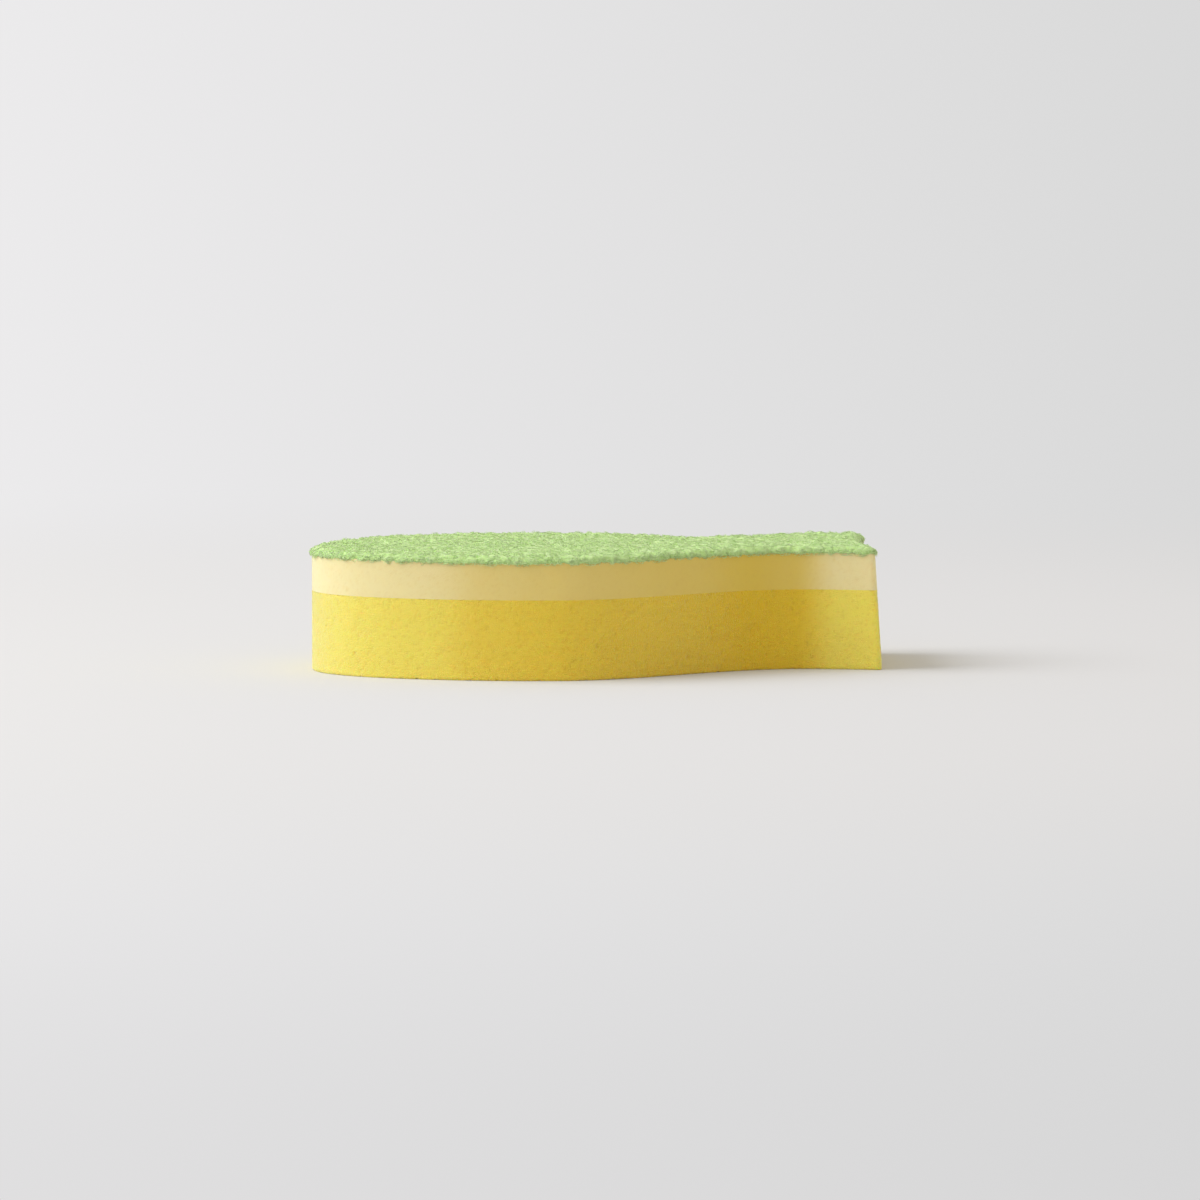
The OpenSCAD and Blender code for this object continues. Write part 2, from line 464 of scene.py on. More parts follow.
def web_material(name, light, deep_tone_and_painted_shade, hollow_shade):
    """Dyed nylon staple: pale on the lumps, painted shade in the hollows, random darker patches.
    """
    material, tree = new_material(name)
    place = add(tree, "ShaderNodeTexCoord").outputs["Object"]
    rise = add(tree, "ShaderNodeAttribute", attribute_name="rise").outputs["Fac"]
    patches = add(
        tree, "ShaderNodeTexNoise", {"Vector": place, "Scale": 1 / (PATCH_MM * MM), "Detail": 3.0}
    ).outputs["Fac"]
    # Painted shade in the hollows between the lumps, added to the random darker patches
    sunk = add(tree, "ShaderNodeMath", {0: 1.0, 1: rise}, operation="SUBTRACT").outputs[0]
    painted_hollow_shade = add(
        tree, "ShaderNodeMath", {0: sunk, 1: hollow_shade}, operation="MULTIPLY"
    ).outputs[0]
    tone_and_painted_shade = add(
        tree, "ShaderNodeMath", {0: patches, 1: PATCH_SHADE, 2: painted_hollow_shade}, operation="MULTIPLY_ADD"
    ).outputs[0]
    colour = add(
        tree,
        "ShaderNodeMix",
        {0: tone_and_painted_shade, MIX_A: linear(light), MIX_B: linear(deep_tone_and_painted_shade)},
        data_type="RGBA",
    ).outputs[MIX_RESULT]
    crimp = add(
        tree,
        "ShaderNodeTexNoise",
        {"Vector": place, "Scale": 1 / (CRIMP_MM * MM), "Detail": 2.0, "Distortion": 2.0},
    ).outputs["Fac"]
    bump = add(
        tree,
        "ShaderNodeBump",
        {"Height": crimp, "Distance": CRIMP_DEPTH_MM * MM, "Strength": 0.8},
    ).outputs["Normal"]
    shader = add(
        tree,
        "ShaderNodeBsdfPrincipled",
        {
            "Base Color": colour,
            "Roughness": 0.75,
            "IOR": 1.53,
            "Specular IOR Level": 0.3,
            "Subsurface Weight": 0.2,
            "Subsurface Radius": (0.6, 1.0, 0.3),
            "Subsurface Scale": 1.5 * MM,
            "Sheen Weight": 0.2,
            "Sheen Roughness": 0.5,
            "Normal": bump,
        },
    )
    add(tree, "ShaderNodeOutputMaterial", {"Surface": shader.outputs["BSDF"]})
    return material


print("patches and crimp of the web in mm:", PATCH_MM, CRIMP_MM)

# %% [markdown]
# The web and its loose threads are the same dyed nylon. The threads lie on top and catch more
# light, so their colours are a little paler and their hollows less deep.

# %% The web and its loose threads
# The deep colour goes into the random patches and into the painted shade of the hollows.
WEB = web_material(
    "Green nonwoven nylon web", light="#dcf6b0", deep_tone_and_painted_shade="#a4cf62", hollow_shade=0.45
)
THREAD = web_material(
    "Green crimped nylon thread", light="#e2fab8", deep_tone_and_painted_shade="#b6dc7c", hollow_shade=0.3
)
print("pad materials:", WEB.name, "and", THREAD.name)

# %% [markdown]
# Each foam layer is one closed skin. It is a stack of even rings: some under the layer, many up
# its cut wall and a few on its top, closed by a point at each end. The rings on the two flat
# faces shrink towards a hub that sees the whole outline, so no ring ever crosses itself.

# %% A closed skin from a stack of rings
HUB = np.array([94.0, 8.0])

# A wall has one more ring this far from each of its two edges, which keeps the edges crisp
EDGE_RING = 0.03

# How far a layer's top goes into the layer above, and the size of the last ring of a face
TUCK = 0.3
CAP_SHARE = 0.9


def mesh_object(name, points, faces, material):
    """A smooth mesh object from points and faces."""
    mesh = bpy.data.meshes.new(name)
    mesh.from_pydata(points.tolist(), [], faces)
    mesh.materials.append(material)
    mesh.shade_smooth()
    obj = bpy.data.objects.new(name, mesh)
    bpy.context.collection.objects.link(obj)
    return obj


def ring_stack(name, step_mm, levels, material):
    """levels are (height, inset, share of the way from the hub), from the lowest point up."""
    rim, out = even_rim(step_mm)
    count = len(rim)
    rings = [placed(HUB + (rim - out * inset - HUB) * scale, z) for z, inset, scale in levels]
    poles = [placed(HUB, levels[0][0]), placed(HUB, levels[-1][0])]
    points = np.concatenate([*rings, poles])
    near = np.arange(count)
    after = np.roll(near, -1)
    faces = []
    for k in range(len(levels) - 1):
        a, b = k * count + near, k * count + after
        faces += np.stack([a, b, b + count, a + count], -1).tolist()
    low, top = len(points) - 2, len(points) - 1
    last = (len(levels) - 1) * count
    faces += [[low, b, a] for a, b in zip(near.tolist(), after.tolist())]
    faces += [[top, last + a, last + b] for a, b in zip(near.tolist(), after.tolist())]
    return mesh_object(name, points, faces, material)


def wall_levels(low, high, step_mm, base_radius=0.0):
    """Levels up a cut wall, with a round edge below if base_radius is given."""
    even = np.linspace(low, high, round((high - low) / step_mm) + 1)
    heights = np.concatenate([[low, low + EDGE_RING], even[1:-1], [high - EDGE_RING, high]])
    down = np.clip(base_radius - (heights - low), 0, base_radius)
    insets = base_radius - np.sqrt(base_radius**2 - down**2)
    return [(z, inset, 1.0) for z, inset in zip(heights, insets)]


def tucked_top(high):
    """The last levels of a layer, hidden inside the layer above."""
    return [(high + TUCK, TUCK, 1.0), (high + TUCK, TUCK, CAP_SHARE)]


print("hub in the shared frame in mm:", (placed(HUB, 0.0) / MM).round(1).tolist())

# %% [markdown]
# What can be told as a rule is left to Geometry Nodes. Each tree takes its sizes as named inputs
# and ends in Realize Instances and Set Material. It is then applied to its object, so that only a
# plain mesh is kept.

# %% Helpers that start, end and apply a geometry tree
def node_group(name, inputs):
    """An empty geometry tree with a Geometry input and output and the named inputs."""
    tree = bpy.data.node_groups.new(name, "GeometryNodeTree")
    tree.interface.new_socket("Geometry", in_out="INPUT", socket_type="NodeSocketGeometry")
    for label, value in inputs.items():
        kind = "NodeSocketInt" if isinstance(value, int) else "NodeSocketFloat"
        socket = tree.interface.new_socket(label, in_out="INPUT", socket_type=kind)
        socket.default_value = value
    tree.interface.new_socket("Geometry", in_out="OUTPUT", socket_type="NodeSocketGeometry")
    return tree, tree.nodes.new("NodeGroupInput").outputs


def finish_group(tree, geometry, material):
    """Ends a tree in Realize Instances and Set Material."""
    real = add(tree, "GeometryNodeRealizeInstances", {"Geometry": geometry}).outputs[0]
    done = add(tree, "GeometryNodeSetMaterial", {"Geometry": real, "Material": material})
    add(tree, "NodeGroupOutput", {"Geometry": done.outputs[0]})


def applied(obj, tree, inputs):
    """Runs a tree on an object and keeps its result as a plain mesh."""
    modifier = obj.modifiers.new(tree.name, "NODES")
    modifier.node_group = tree
    sockets = {s.name: s.identifier for s in tree.interface.items_tree if s.in_out == "INPUT"}
    for label, value in inputs.items():
        modifier[sockets[label]] = value
    evaluated = obj.evaluated_get(bpy.context.evaluated_depsgraph_get())
    mesh = bpy.data.meshes.new_from_object(evaluated)
    obj.modifiers.remove(modifier)
    obj.data = mesh
    mesh.name = obj.name


print("geometry trees are built for Blender", bpy.app.version_string)

# %% [markdown]
# The cells of the foam are such a rule. A Voronoi pattern gives each point its place in a cell,
# and the skin is pushed in there along its normal. A second, larger pattern makes the few big
# cells that every block has. The deeper of the two is kept as the attribute called pit.

# %% Geometry Nodes that open the cells of a foam skin
# A cell is deepest up to this distance from its middle, counted in cell sizes
CELL_FLOOR = 0.12

# The skin is back at its full height from these distances on
CELL_RIM = 0.62
BIG_CELL_RIM = 0.26


def pit_depth(tree, place, size, seed, rim):
    """How deep a point lies in its cell, from 0 on a wall to 1 in the middle."""
    per_metre = add(tree, "ShaderNodeMath", {0: 1.0, 1: size}, operation="DIVIDE").outputs[0]
    scaled = add(
        tree, "ShaderNodeVectorMath", {0: place, "Scale": per_metre}, operation="SCALE"
    ).outputs[0]
    away = add(
        tree,
        "ShaderNodeTexVoronoi",
        {"Vector": scaled, "W": seed, "Scale": 1.0},
        voronoi_dimensions="4D",
        feature="F1",
    ).outputs["Distance"]
    return add(
        tree,
        "ShaderNodeMapRange",
        {"Value": away, "From Min": rim, "From Max": CELL_FLOOR, "To Min": 0.0, "To Max": 1.0},
        interpolation_type="SMOOTHSTEP",
    ).outputs["Result"]


def cell_tree(name, sizes, material):
    """A geometry tree that opens small and big cells of the given sizes."""
    tree, given = node_group(name, sizes)
    place = add(tree, "GeometryNodeInputPosition").outputs[0]
    normal = add(tree, "GeometryNodeInputNormal").outputs[0]
    small = pit_depth(tree, place, given["Cell size"], given["Seed"], CELL_RIM)
    big = pit_depth(tree, place, given["Big cell"], given["Seed"], BIG_CELL_RIM)
    pit = add(tree, "ShaderNodeMath", {0: small, 1: big}, operation="MAXIMUM").outputs[0]
    small_in = add(
        tree, "ShaderNodeMath", {0: small, 1: given["Cell depth"]}, operation="MULTIPLY"
    ).outputs[0]
    big_in = add(
        tree, "ShaderNodeMath", {0: big, 1: given["Big depth"]}, operation="MULTIPLY"
    ).outputs[0]
    depth = add(tree, "ShaderNodeMath", {0: small_in, 1: big_in}, operation="ADD").outputs[0]
    back = add(tree, "ShaderNodeMath", {0: depth, 1: -1.0}, operation="MULTIPLY").outputs[0]
    inward = add(
        tree, "ShaderNodeVectorMath", {0: normal, "Scale": back}, operation="SCALE"
    ).outputs[0]
    stored = add(
        tree,
        "GeometryNodeStoreNamedAttribute",
        {"Geometry": given["Geometry"], "Name": "pit", "Value": pit},
        data_type="FLOAT",
        domain="POINT",
    ).outputs[0]
    moved = add(tree, "GeometryNodeSetPosition", {"Geometry": stored, "Offset": inward})
    finish_group(tree, moved.outputs[0], material)
    return tree


print("rims of small and big cells, in cell sizes:", CELL_RIM, BIG_CELL_RIM)

# %% [markdown]
# The yellow block is the thickest layer and the coarsest foam. Its base edge is barely rounded,
# as the blade leaves it almost sharp, and its top is tucked a little into the cream layer, so
# that no gap shows at the bond. Its underside gets rings too, as the same cells open there.

# %% The coarse yellow foam
# Radius round the base and spacing of the skin's points, in millimetres
BASE_RADIUS = 0.3
COARSE_STEP = 0.38

# Rings under the block, as shares of the way from the hub to the rim
UNDER_RINGS = np.linspace(0.03, 0.985, 26)

COARSE = {
    "Cell size": 0.9 * MM,
    "Cell depth": 0.15 * MM,
    "Big cell": 2.6 * MM,
    "Big depth": 0.2 * MM,
    "Seed": 3.0,
}

under = [(0.0, BASE_RADIUS, scale) for scale in UNDER_RINGS]
wall = wall_levels(0.0, SEAM_LOW, COARSE_STEP, BASE_RADIUS)
levels = [*under, *wall, *tucked_top(SEAM_LOW)]
yellow = ring_stack("open_cell_foam", COARSE_STEP, levels, YELLOW)
applied(yellow, cell_tree("Coarse cells", COARSE, YELLOW), COARSE)
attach(yellow, BODY)
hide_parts("yellow_foam_base")
print("yellow foam faces:", len(yellow.data.polygons))

# %% [markdown]
# The cream layer is poured from a finer mix, so its cells are a little narrower and a third as
# deep. Both its faces are bonded, so only its wall shows, and that is where its faces go.

# %% The fine cream foam
FINE_STEP = 0.42
FINE = {
    "Cell size": 0.8 * MM,
    "Cell depth": 0.05 * MM,
    "Big cell": 3.0 * MM,
    "Big depth": 0.08 * MM,
    "Seed": 3.0,
}

wall = wall_levels(SEAM_LOW, SEAM_HIGH, FINE_STEP)
levels = [(SEAM_LOW, 0.0, CAP_SHARE), *wall, *tucked_top(SEAM_HIGH)]
cream = ring_stack("fine_cell_foam", FINE_STEP, levels, CREAM)
applied(cream, cell_tree("Fine cells", FINE, CREAM), FINE)
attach(cream, BODY)
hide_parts("cream_foam_layer")
print("cream foam faces:", len(cream.data.polygons))

# %% [markdown]
# Two measures are needed for the pad: which points of a grid lie inside the outline, and how far
# each is from the rim. Fibres hang out over the foam, more in some places than in others, and a
# smoothed row of random numbers with a fixed seed gives those places.

# %% Measures against the rim
# Fixed seed of the random row, and how often the row is smoothed
TUFT_SEED = 3
TUFT_SMOOTHINGS = 4


def inside(points, rim):
    """True for the points that lie inside a closed rim, by the count of crossings."""
    crossings = np.zeros(len(points), dtype=int)
    for a, b in zip(rim, np.roll(rim, -1, 0)):
        spans = (a[1] > points[:, 1]) != (b[1] > points[:, 1])
        slope = (b[0] - a[0]) / (b[1] - a[1] or 1.0)
        crossings += spans & (points[:, 0] < a[0] + slope * (points[:, 1] - a[1]))
    return crossings % 2 == 1


def gap_to(points, rim):
    """Distance from each point to the nearest rim point."""
    nearest = np.full(len(points), np.inf)
    for corner in rim:
        nearest = np.minimum(nearest, np.hypot(*(points - corner).T))
    return nearest


def tufts_of(count):
    """A wandering share from 0 to 1 for each rim point, where fibres hang out over the foam."""
    share = np.random.default_rng(TUFT_SEED).random(count)
    for _ in range(TUFT_SMOOTHINGS):
        share = (np.roll(share, 1) + share + np.roll(share, -1)) / 3
    return (share - share.min()) / np.ptp(share)


print("from the hub to the rim in mm:", gap_to(HUB[None], rim_check).round(1).tolist())

# %% [markdown]
# The pad's web needs even triangles over its whole top, so that its lumps have one grain all over.
# Points on a triangle grid are kept where they lie inside the outline, and a Delaunay mesh joins
# them to the rim. The web thins over its last millimetres and turns down over the cream foam.

# %% The web's smooth skin
WEB_STEP = 0.44

# Grid points nearer to the rim than this share of a step are left out
GRID_GAP = 0.6

# The smooth skin lies this far below the top, as the lumps rise above it
SKIN_DROP = 0.75

# Fall of the skin towards the rim, and the width over which it falls
EDGE_DROP = 0.8
EDGE_ROUND = 1.6

# The hem: its upper line, how far it hangs out and down, and where it ends under the web
LIP_RISE = 0.25
OVERHANG = 0.12
TUFT_OUT = 0.15
HEM_DROP = 0.05
TUFT_DOWN = 0.25
UNDER_DROP = 0.15

# For the Delaunay mesh: keep only triangles inside the rim, and join points as near as this
INSIDE_ONLY = 1
JOIN_MM = 1e-6


def web_skin():
    """The smooth closed skin of the pad, before its lumps."""
    rim, out = even_rim(WEB_STEP)
    (low_x, low_y), (high_x, high_y) = rim.min(0), rim.max(0)
    row_gap = WEB_STEP * math.sqrt(0.75)
    xs, ys = np.meshgrid(np.arange(low_x, high_x, WEB_STEP), np.arange(low_y, high_y, row_gap))
    xs[1::2] += WEB_STEP / 2
    grid = np.stack([xs.ravel(), ys.ravel()], -1)
    grid = grid[inside(grid, rim)]
    grid = grid[gap_to(grid, rim) > WEB_STEP * GRID_GAP]
    flat = [Vector(point) for point in np.concatenate([rim, grid]).tolist()]
    count = len(rim)
    border = [list(range(count))]
    verts, _, faces, ids, _, _ = delaunay_2d_cdt(flat, [], border, INSIDE_ONLY, JOIN_MM)
    plan = np.array([tuple(v) for v in verts])
    at = {old: new for new, olds in enumerate(ids) for old in olds}
    upper = np.array([at[k] for k in range(count)])
    drop = EDGE_DROP * np.clip(1 - gap_to(plan, rim) / EDGE_ROUND, 0, 1) ** 2
    points = [placed(plan, TOTAL_H - SKIN_DROP - drop)]
    faces = [list(face) for face in faces]
    tufts = tufts_of(count)
    lip = OVERHANG + TUFT_OUT * tufts
    hem = [
        (SEAM_HIGH + LIP_RISE, lip),
        (SEAM_HIGH - HEM_DROP - TUFT_DOWN * tufts, lip),
        (SEAM_HIGH - UNDER_DROP, 0 * lip),
    ]
    for z, outset in hem:
        lower = sum(len(p) for p in points) + np.arange(count)
        points.append(placed(rim + out * outset[:, None], z))
        faces += np.stack([lower, np.roll(lower, -1), np.roll(upper, -1), upper], -1).tolist()
        upper = lower
    pole = sum(len(p) for p in points)
    points.append(placed(HUB, SEAM_HIGH - UNDER_DROP)[None])
    faces += [[pole, b, a] for a, b in zip(upper.tolist(), np.roll(upper, -1).tolist())]
    return mesh_object("scouring_web", np.concatenate(points), faces, WEB)


web = web_skin()
print("points of the smooth web:", len(web.data.vertices))

# %% [markdown]
# The lumps of the web are soft noise of two sizes, broad lumps and small knots, along the skin's
# normal. The attribute called rise keeps how high each point lies, for the material.

# %% Geometry Nodes that raise the lumps of the web
LUMPS = {
    "Lump size": 2.4 * MM,
    "Lump height": 1.3 * MM,
    "Knot size": 0.8 * MM,
    "Knot height": 0.6 * MM,
}

# Noise is one half on average, and that is left at the height of the smooth skin
NOISE_MIDDLE = 0.5

# Shares of the lumps and of the knots in the attribute, and its shift
LUMP_RISE = 1.6
KNOT_RISE = 0.7
RISE_SHIFT = -0.65


def waves(tree, place, size, height):
    """Soft noise of one size, as a share and as a height above the smooth skin."""
    per_metre = add(tree, "ShaderNodeMath", {0: 1.0, 1: size}, operation="DIVIDE").outputs[0]
    noise = add(
        tree, "ShaderNodeTexNoise", {"Vector": place, "Scale": per_metre, "Detail": 1.0}
    ).outputs["Fac"]
    above = add(
        tree, "ShaderNodeMath", {0: noise, 1: NOISE_MIDDLE}, operation="SUBTRACT"
    ).outputs[0]
    up = add(tree, "ShaderNodeMath", {0: above, 1: height}, operation="MULTIPLY").outputs[0]
    return noise, up


def lump_tree(name, sizes, material):
    """A geometry tree that raises lumps and knots of the given sizes."""
    tree, given = node_group(name, sizes)
    place = add(tree, "GeometryNodeInputPosition").outputs[0]
    normal = add(tree, "GeometryNodeInputNormal").outputs[0]
    lump, lump_up = waves(tree, place, given["Lump size"], given["Lump height"])
    knot, knot_up = waves(tree, place, given["Knot size"], given["Knot height"])
    knot_part = add(
        tree, "ShaderNodeMath", {0: knot, 1: KNOT_RISE, 2: RISE_SHIFT}, operation="MULTIPLY_ADD"
    ).outputs[0]
    rise = add(
        tree, "ShaderNodeMath", {0: lump, 1: LUMP_RISE, 2: knot_part}, operation="MULTIPLY_ADD"
    ).outputs[0]
    up = add(tree, "ShaderNodeMath", {0: lump_up, 1: knot_up}, operation="ADD").outputs[0]
    offset = add(
        tree, "ShaderNodeVectorMath", {0: normal, "Scale": up}, operation="SCALE"
    ).outputs[0]
    stored = add(
        tree,
        "GeometryNodeStoreNamedAttribute",
        {"Geometry": given["Geometry"], "Name": "rise", "Value": rise},
        data_type="FLOAT",
        domain="POINT",
    ).outputs[0]
    moved = add(tree, "GeometryNodeSetPosition", {"Geometry": stored, "Offset": offset})
    finish_group(tree, moved.outputs[0], material)
    return tree


applied(web, lump_tree("Web lumps", LUMPS, WEB), LUMPS)
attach(web, BODY)
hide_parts("green_scouring_pad")
print("web faces:", len(web.data.polygons))

# %% [markdown]
# Loose threads are what make the pad look like a pad. Each is a short arc of crimped thread with
# three sides and closed ends, 0.12 mm thick as in a coarse pad. The threads are thrown on the web
# at random and lie almost flat, each with one end a little raised. Geometry Nodes scatter them
# with a fixed seed, so every run gives the same pad.

# %% Geometry Nodes that scatter loose threads
# Each arc takes a little less than half a turn
ARC_SWEEP = math.radians(170)
ARC_POINTS = 5
THREAD_SIDES = 3

# Sizes of the threads along each axis, as shares of the full one
SMALLEST = (0.5, 0.5, 0.5)
LARGEST = (1.3, 1.3, 1.3)

# Fixed seeds for the sizes and the turns
SIZE_SEED = 7
TURN_SEED = 9


def thread_tree(name, sizes, material):
    """A geometry tree that throws arcs of thread on a surface."""
    tree, given = node_group(name, sizes)
    scattered = add(
        tree,
        "GeometryNodeDistributePointsOnFaces",
        {"Mesh": given["Geometry"], "Density": given["Density"], "Seed": given["Seed"]},
    ).outputs
    arc = add(
        tree,
        "GeometryNodeCurveArc",
        {"Resolution": ARC_POINTS, "Radius": given["Arc radius"], "Sweep Angle": ARC_SWEEP},
    ).outputs["Curve"]
    section = add(
        tree,
        "GeometryNodeCurvePrimitiveCircle",
        {"Resolution": THREAD_SIDES, "Radius": given["Thread radius"]},
    ).outputs["Curve"]
    thread = add(
        tree,
        "GeometryNodeCurveToMesh",
        {"Curve": arc, "Profile Curve": section, "Fill Caps": True},
    ).outputs["Mesh"]
    size = add(
        tree,
        "FunctionNodeRandomValue",
        {"Min": SMALLEST, "Max": LARGEST, "Seed": SIZE_SEED},
        data_type="FLOAT_VECTOR",
    ).outputs[0]
    tilt = given["Tilt"]
    most = add(tree, "ShaderNodeCombineXYZ", {0: tilt, 1: tilt, 2: math.pi}).outputs[0]
    least = add(
        tree, "ShaderNodeVectorMath", {0: most, "Scale": -1.0}, operation="SCALE"
    ).outputs[0]
    turn = add(
        tree,
        "FunctionNodeRandomValue",
        {"Min": least, "Max": most, "Seed": TURN_SEED},
        data_type="FLOAT_VECTOR",
    ).outputs[0]
    lying = add(
        tree,
        "GeometryNodeInstanceOnPoints",
        {
            "Points": scattered["Points"],
            "Instance": thread,
            "Rotation": scattered["Rotation"],
            "Scale": size,
        },
    ).outputs[0]
    thrown = add(
        tree, "GeometryNodeRotateInstances", {"Instances": lying, "Rotation": turn}
    ).outputs[0]
    finish_group(tree, thrown, material)
    return tree


ONE_THREAD = {
    "Density": 1.0,
    "Thread radius": 0.06 * MM,
    "Arc radius": 0.8 * MM,
    "Tilt": 0.5,
    "Seed": 1,
}
loose_threads = thread_tree("Loose threads", ONE_THREAD, THREAD)
print("nodes that throw the threads:", len(loose_threads.nodes))

# %% [markdown]
# The threads come in three sets, so that no piece has too many triangles. Two lie over each other
# on the top, one of them a little flatter, and the third fringes the rim, where the blade cut
# through the web. Each set is scattered on a copy of the faces that it belongs to.

# %% The three sets of loose threads
# Density in threads for each square metre that is one for each square millimetre
PER_MM2 = 1e6

# The top ends and the rim starts at one slope of the normal, and the rim ends at the other
TOP_SLOPE = 0.5
HEM_SLOPE = -0.4
LIP_Z = (SEAM_HIGH + LIP_RISE) * MM
HEM_Z = (SEAM_HIGH - TUFT_DOWN) * MM


def on_top(normal, middle):
    """True for the faces of the pad's top."""
    return normal.z > TOP_SLOPE and middle.z > LIP_Z


def on_rim(normal, middle):
    """True for the faces of the pad's rim."""
    return HEM_SLOPE < normal.z <= TOP_SLOPE and middle.z > HEM_Z


def copy_of(obj, name, keep):
    """A copy of an object that keeps only the faces whose normal and middle pass a test."""
    work = bmesh.new()
    work.from_mesh(obj.data)
    gone = [f for f in work.faces if not keep(f.normal, f.calc_center_median())]
    bmesh.ops.delete(work, geom=gone, context="FACES")
    mesh = bpy.data.meshes.new(name)
    work.to_mesh(mesh)
    work.free()
    made = bpy.data.objects.new(name, mesh)
    bpy.context.collection.objects.link(made)
    return made


THREAD_SETS = {
    "loose_threads_top": (on_top, {"Density": 0.95 * PER_MM2, "Seed": 4, "Tilt": 0.3}),
    "loose_threads_low": (on_top, {"Density": 0.95 * PER_MM2, "Seed": 12, "Tilt": 0.2}),
    "loose_threads_rim": (
        on_rim,
        {"Density": 9.0 * PER_MM2, "Seed": 8, "Tilt": 0.4, "Arc radius": 0.6 * MM},
    ),
}
for name, (keep, inputs) in THREAD_SETS.items():
    threads = copy_of(web, name, keep)
    applied(threads, loose_threads, inputs)
    threads.data.shade_smooth()
    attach(threads, BODY)
    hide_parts("green_scouring_pad")
    print(threads.name, "faces:", len(threads.data.polygons))

# %% [markdown]
# The floor and the room both show a plain background to the camera and light the sponge in
# another way. A Light Path node tells the two kinds of ray apart. Polished things and glass would
# show the same background, so their rays count as seen too.

# %% Rays that show the background
def seen_rays(tree):
    """1 for rays that come from the camera, a glossy surface or through glass."""
    rays = add(tree, "ShaderNodeLightPath").outputs
    direct = add(
        tree,
        "ShaderNodeMath",
        {0: rays["Is Camera Ray"], 1: rays["Is Glossy Ray"]},
        operation="MAXIMUM",
    ).outputs[0]
    return add(
        tree, "ShaderNodeMath", {0: direct, 1: rays["Is Transmission Ray"]}, operation="MAXIMUM"
    ).outputs[0]


print("the background shows to camera, glossy and transmission rays")

# %% [markdown]
# The floor is pale and matt. Near the sponge it takes real shadows. Further out it turns into an
# even pale glow for those rays only, so no horizon shows, and the lamps never have to be raised
# to make the background bright. The glow is a little brighter on the left, where the lamp is,
# and a little darker towards the camera.

# %% Floor
FLOOR = "#dadada"
GLOW_LEFT = "#ecebec"
GLOW_RIGHT = "#d9d9d9"

# Distance of the camera, half size of the floor and the two radii of the fade, in metres
CAMERA_AWAY = 2.4
FLOOR_HALF = 14.0
FADE_FROM = 0.2
FADE_TO = 0.6

# Half the width of the view, as a share of the distance to the camera
GLOW_REACH = 0.062

# Strength of the glow near the camera, and the two places in metres between which it reaches one
NEAR_DIM = 0.93
DIM_TO_Y = -0.9
FULL_FROM_Y = -0.35


def glow_tone(tree, axes):
    """Colour of the glow, from left to right as the camera sees it."""
    depth = add(tree, "ShaderNodeMath", {0: axes["Y"]}, operation="ABSOLUTE").outputs[0]
    reach = add(tree, "ShaderNodeMath", {0: depth, 1: CAMERA_AWAY}, operation="ADD").outputs[0]
    side = add(tree, "ShaderNodeMath", {0: axes["X"], 1: reach}, operation="DIVIDE").outputs[0]
    right = add(
        tree,
        "ShaderNodeMapRange",
        {"Value": side, "From Min": -GLOW_REACH, "From Max": GLOW_REACH},
    ).outputs["Result"]
    return add(
        tree,
        "ShaderNodeMix",
        {0: right, MIX_A: linear(GLOW_LEFT), MIX_B: linear(GLOW_RIGHT)},
        data_type="RGBA",
    ).outputs[MIX_RESULT]


def floor_material():
    """Matt paper near the sponge and an even glow further out."""
    material, tree = new_material("Matt paper sweep")
    place = add(tree, "ShaderNodeTexCoord").outputs["Object"]
    axes = add(tree, "ShaderNodeSeparateXYZ", {0: place}).outputs
    away = add(tree, "ShaderNodeVectorMath", {0: place}, operation="LENGTH").outputs["Value"]
    fade = add(
        tree,
        "ShaderNodeMapRange",
        {"Value": away, "From Min": FADE_FROM, "From Max": FADE_TO},
        interpolation_type="SMOOTHSTEP",
    ).outputs["Result"]
    far = add(
        tree,
        "ShaderNodeMapRange",
        {"Value": axes["Y"], "From Min": DIM_TO_Y, "From Max": FULL_FROM_Y},
        interpolation_type="SMOOTHSTEP",
    ).outputs["Result"]
    strength = add(
        tree, "ShaderNodeMath", {0: far, 1: 1 - NEAR_DIM, 2: NEAR_DIM}, operation="MULTIPLY_ADD"
    ).outputs[0]
    paper = add(tree, "ShaderNodeBsdfDiffuse", {"Color": linear(FLOOR)}).outputs[0]
    glow = add(
        tree, "ShaderNodeEmission", {"Color": glow_tone(tree, axes), "Strength": strength}
    ).outputs[0]
    share = add(
        tree, "ShaderNodeMath", {0: fade, 1: seen_rays(tree)}, operation="MULTIPLY"
    ).outputs[0]
    mixed = add(tree, "ShaderNodeMixShader", {0: share, 1: paper, 2: glow}).outputs[0]
    add(tree, "ShaderNodeOutputMaterial", {"Surface": mixed})
    return material


corners = np.array([[-1, -1, 0], [1, -1, 0], [1, 1, 0], [-1, 1, 0]]) * FLOOR_HALF
floor = mesh_object("floor", corners, [[0, 1, 2, 3]], floor_material())
print("floor of", 2 * FLOOR_HALF, "m, whose glow starts at", FADE_FROM, "to", FADE_TO, "m")

# %% [markdown]
# The room fills the shadows. Its left side is daylight and its right side is warmer and dimmer,
# so walls that turn away from the window go a little towards ochre, while the floor, which sees
# both halves, stays neutral.

# %% World
ROOM_LEFT = "#edf3ff"
ROOM_RIGHT = "#f4e8d6"
BACKDROP = "#e2e2e2"
FILL = 0.79

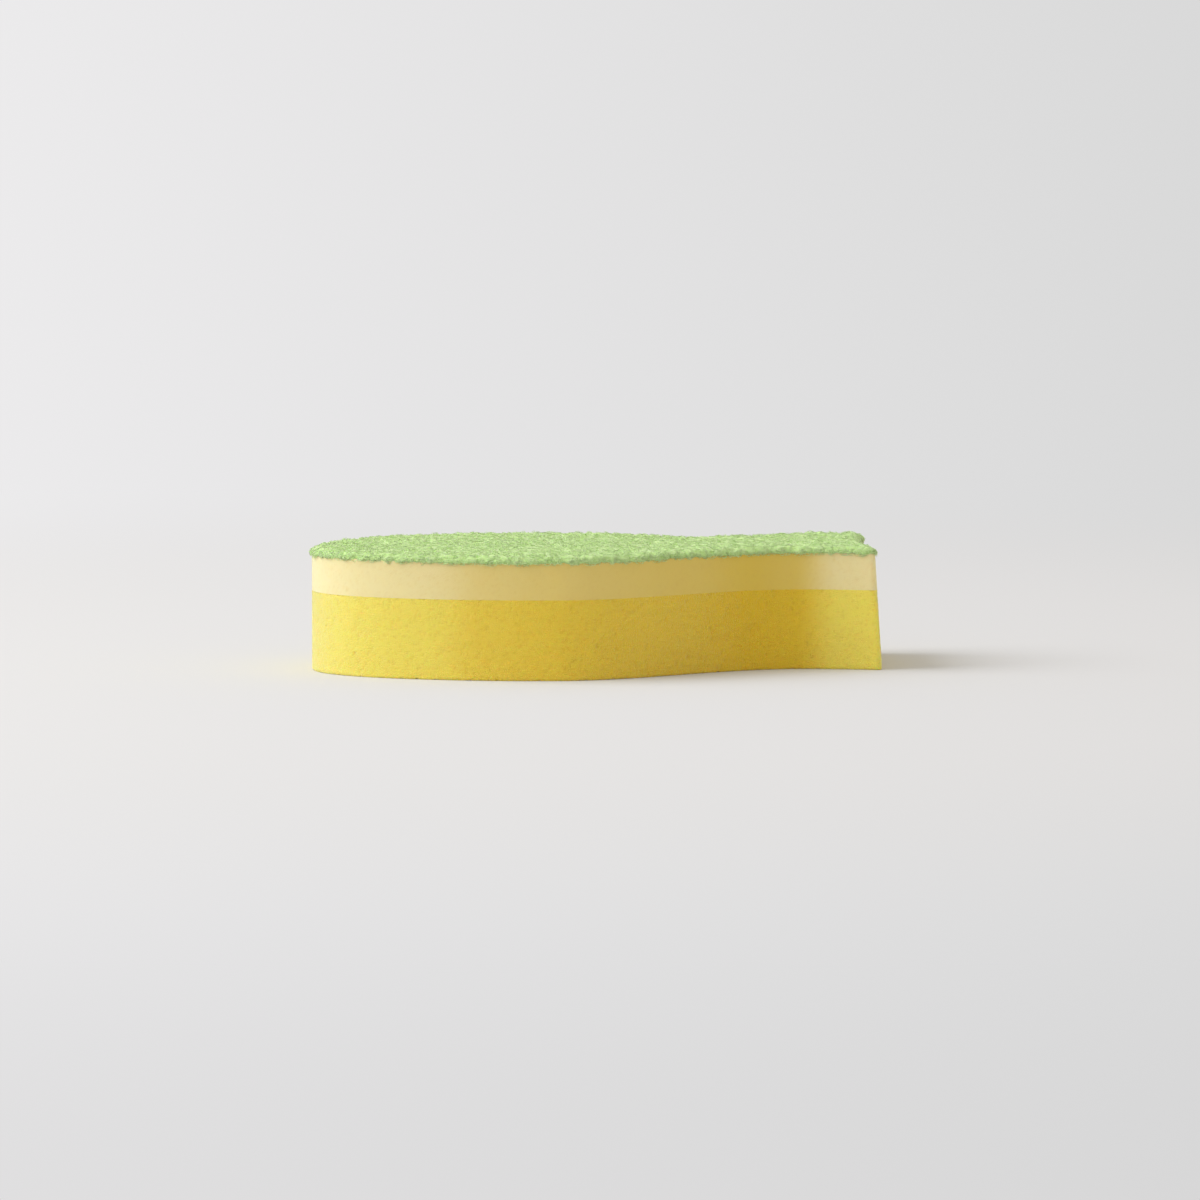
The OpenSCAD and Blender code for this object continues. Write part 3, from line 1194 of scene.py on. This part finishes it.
world = bpy.data.worlds.new("Soft room")
world.use_nodes = True
world.node_tree.nodes.clear()
room = world.node_tree
facing = add(room, "ShaderNodeTexCoord").outputs["Generated"]
rightward = add(room, "ShaderNodeSeparateXYZ", {0: facing}).outputs["X"]
half = add(room, "ShaderNodeMapRange", {"Value": rightward, "From Min": -1.0}).outputs["Result"]
tint = add(
    room,
    "ShaderNodeMix",
    {0: half, MIX_A: linear(ROOM_LEFT), MIX_B: linear(ROOM_RIGHT)},
    data_type="RGBA",
).outputs[MIX_RESULT]
fill = add(room, "ShaderNodeBackground", {"Color": tint, "Strength": FILL}).outputs[0]
seen = add(room, "ShaderNodeBackground", {"Color": linear(BACKDROP)}).outputs[0]
both = add(room, "ShaderNodeMixShader", {0: seen_rays(room), 1: fill, 2: seen}).outputs[0]
add(room, "ShaderNodeOutputWorld", {"Surface": both})
bpy.context.scene.world = world
print("room light from", ROOM_LEFT, "to", ROOM_RIGHT, "at", FILL)

# %% [markdown]
# One wide softbox stands at the left, about as high as it is far, and so lights the nose most and
# leaves the waist in the shade. Its width gives the short soft shadow behind the tail.

# %% Softbox
# Power in watts, and size and places in metres
SOFTBOX_WATTS = 23.0
SOFTBOX_SIZE = 1.35
SOFTBOX_AT = (-1.27, -0.1, 1.2)
SOFTBOX_AIM = (0.0, 0.0, 0.01)


def look_from(obj, place, target):
    """Puts a lamp or a camera at a place and turns it to a target."""
    obj.location = place
    obj.rotation_euler = (Vector(target) - Vector(place)).to_track_quat("-Z", "Y").to_euler()


softbox_data = bpy.data.lights.new("softbox", "AREA")
softbox_data.shape = "SQUARE"
softbox_data.size = SOFTBOX_SIZE
softbox_data.energy = SOFTBOX_WATTS
softbox = bpy.data.objects.new("softbox", softbox_data)
bpy.context.collection.objects.link(softbox)
look_from(softbox, SOFTBOX_AT, SOFTBOX_AIM)
print("softbox of", SOFTBOX_SIZE, "m and", SOFTBOX_WATTS, "W at", SOFTBOX_AT)

# %% [markdown]
# The photograph was taken with a long lens from almost table height. The frame is 286 mm wide at
# the sponge, and its middle lies 3 mm below the seam of the two foams.

# %% Camera at the photograph's angle
CAMERA_UP = math.radians(4.75)

# Width of the sensor in millimetres
SENSOR = 36.0

# Width of the frame at the sponge, middle of the view and far end of sight, in metres
FRAME_W = 0.2858
AIM = (0.00095, 0.0, 0.0160)
CLIP_END = 30.0

camera_data = bpy.data.cameras.new("camera")
camera_data.sensor_width = SENSOR
camera_data.lens = SENSOR * CAMERA_AWAY / FRAME_W
camera_data.clip_end = CLIP_END
camera = bpy.data.objects.new("camera", camera_data)
bpy.context.collection.objects.link(camera)
camera_at = (
    AIM[0],
    AIM[1] - CAMERA_AWAY * math.cos(CAMERA_UP),
    AIM[2] + CAMERA_AWAY * math.sin(CAMERA_UP),
)
look_from(camera, camera_at, AIM)
bpy.context.scene.camera = camera
bpy.context.scene.view_settings.view_transform = "Standard"
print("lens in mm:", round(camera_data.lens))
